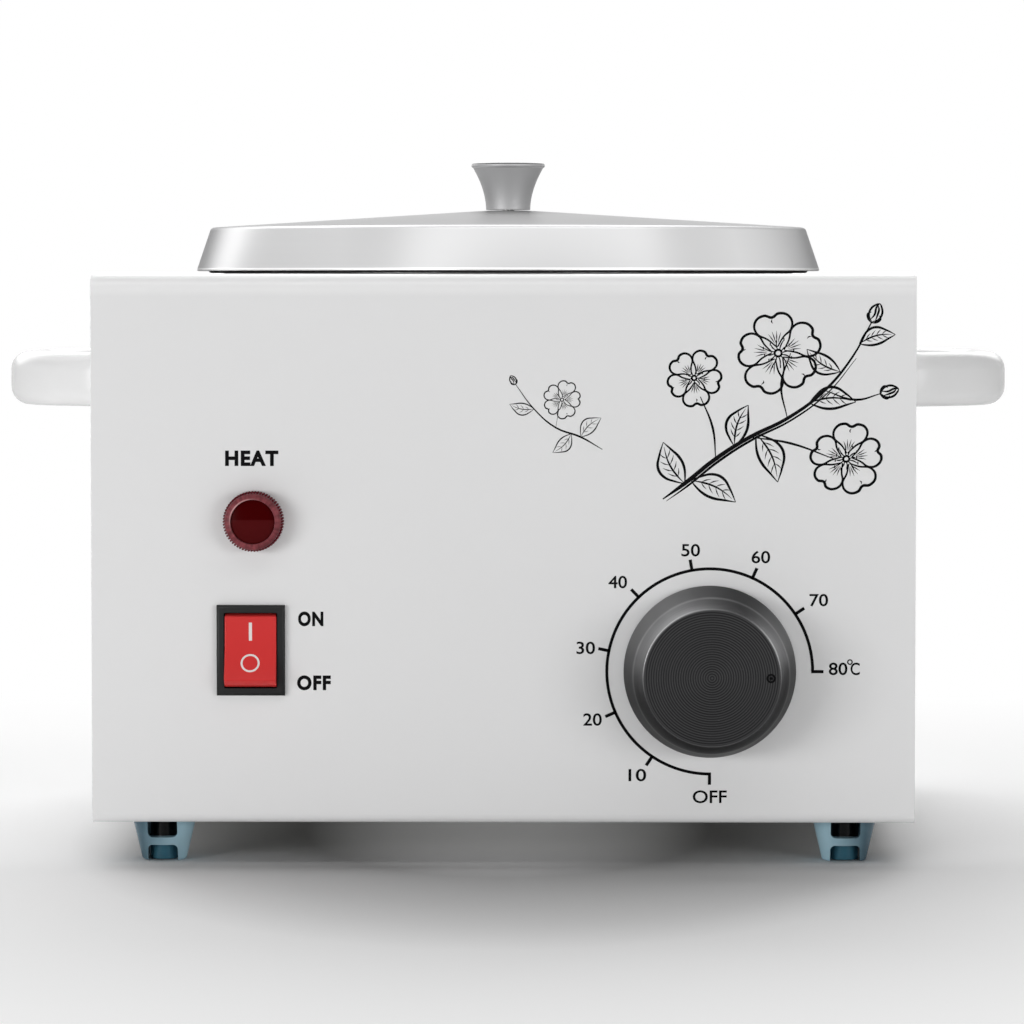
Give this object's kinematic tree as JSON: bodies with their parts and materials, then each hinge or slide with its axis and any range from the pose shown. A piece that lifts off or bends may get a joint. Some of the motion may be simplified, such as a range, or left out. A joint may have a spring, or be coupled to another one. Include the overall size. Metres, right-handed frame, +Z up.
{
  "type": "paraffin wax bath",
  "caption": "Single-pot paraffin wax bath: box case on feet, side handles, lift-out round pot under a low domed lid with a knob, front dial, rocker switch and pilot lamp.",
  "frame": {"origin": "middle of the bounding box's underside, on the surface that the feet stand on", "axes": "+X to the right seen from the front, across the handles; +Y to the back; +Z up; the dial and switch face -Y"},
  "size_m": [0.3424, 0.2794, 0.2312],
  "materials": {
    "white_paint": "smooth white gloss coat",
    "white_plastic": "gloss white moulding",
    "satin_aluminium": "satin, spun",
    "zinc_plate": "zinc plated",
    "blue_rubber": "translucent steel blue",
    "graphite_plastic": "dark graphite, fine turned grooves",
    "black_plastic": "satin black",
    "red_plastic": "clear red",
    "lamp_red": "translucent dark red",
    "brass": "bright",
    "copper": "drawn copper",
    "glass_wool": "glass fibre felt",
    "ceramic": "unglazed steatite",
    "wire_brown": "cable sleeving",
    "wire_blue": "cable sleeving",
    "wire_yellow": "cable sleeving"
  },
  "bodies": {
    "housing": {"band_screw": "zinc_plate", "base_plate": "zinc_plate", "body_wrap": "white_paint", "bulb_clip": "zinc_plate", "capillary_tube": "copper", "earth_stud": "brass", "foot_front_left": "blue_rubber", "foot_front_right": "blue_rubber", "foot_rear_left": "blue_rubber", "foot_rear_right": "blue_rubber", "foot_screw_front_left": "zinc_plate", "foot_screw_front_right": "zinc_plate", "foot_screw_rear_left": "zinc_plate", "foot_screw_rear_right": "zinc_plate", "handle_left": "white_plastic", "handle_right": "white_plastic", "handle_screw_front_left": "zinc_plate", "handle_screw_front_right": "zinc_plate", "handle_screw_rear_left": "zinc_plate", "handle_screw_rear_right": "zinc_plate", "heater_band": "zinc_plate", "heating_well": "satin_aluminium", "inlet_pin_earth": "brass", "inlet_pin_live": "brass", "inlet_pin_neutral": "brass", "inlet_screw_left": "zinc_plate", "inlet_screw_right": "zinc_plate", "inlet_socket": "black_plastic", "insulation_wrap": "glass_wool", "lamp_body": "black_plastic", "lamp_lens": "lamp_red", "lamp_nut": "black_plastic", "panel_screw_high_left": "zinc_plate", "panel_screw_high_right": "zinc_plate", "panel_screw_low_left": "zinc_plate", "panel_screw_low_right": "zinc_plate", "side_panel_left": "white_paint", "side_panel_right": "white_paint", "switch_bezel": "black_plastic", "switch_terminal_live": "brass", "switch_terminal_neutral": "brass", "terminal_block": "ceramic", "thermal_cutout": "ceramic", "thermostat_body": "ceramic", "thermostat_bulb": "copper", "thermostat_screw_left": "zinc_plate", "thermostat_screw_right": "zinc_plate", "wire_earth": "wire_yellow", "wire_live": "wire_brown", "wire_return": "wire_blue", "wire_switched": "wire_brown"},
    "pot": {"wax_pot": "satin_aluminium"},
    "lid": {"lid_cover": "satin_aluminium", "lid_knob": "satin_aluminium", "lid_screw": "zinc_plate"},
    "dial": {"dial_knob": "graphite_plastic", "thermostat_shaft": "zinc_plate"},
    "rocker": {"switch_rocker": "red_plastic"}
  },
  "joints": [
    {"name": "pot_lift", "type": "slide", "parent": "housing", "child": "pot", "axis": [0, 0, 1], "range_m": [0, 0.135]},
    {"name": "lid_lift", "type": "slide", "parent": "pot", "child": "lid", "axis": [0, 0, 1], "range_m": [0, 0.08]},
    {"name": "dial_turn", "type": "hinge", "parent": "housing", "child": "dial", "pos_m": [0.0667, -0.11365, 0.0636], "axis": [0, -1, 0], "range_deg": [0, 270]},
    {"name": "rocker_tilt", "type": "hinge", "parent": "housing", "child": "rocker", "pos_m": [-0.0814, -0.11351, 0.0704], "axis": [1, 0, 0], "range_deg": [0, 22]}
  ]
}
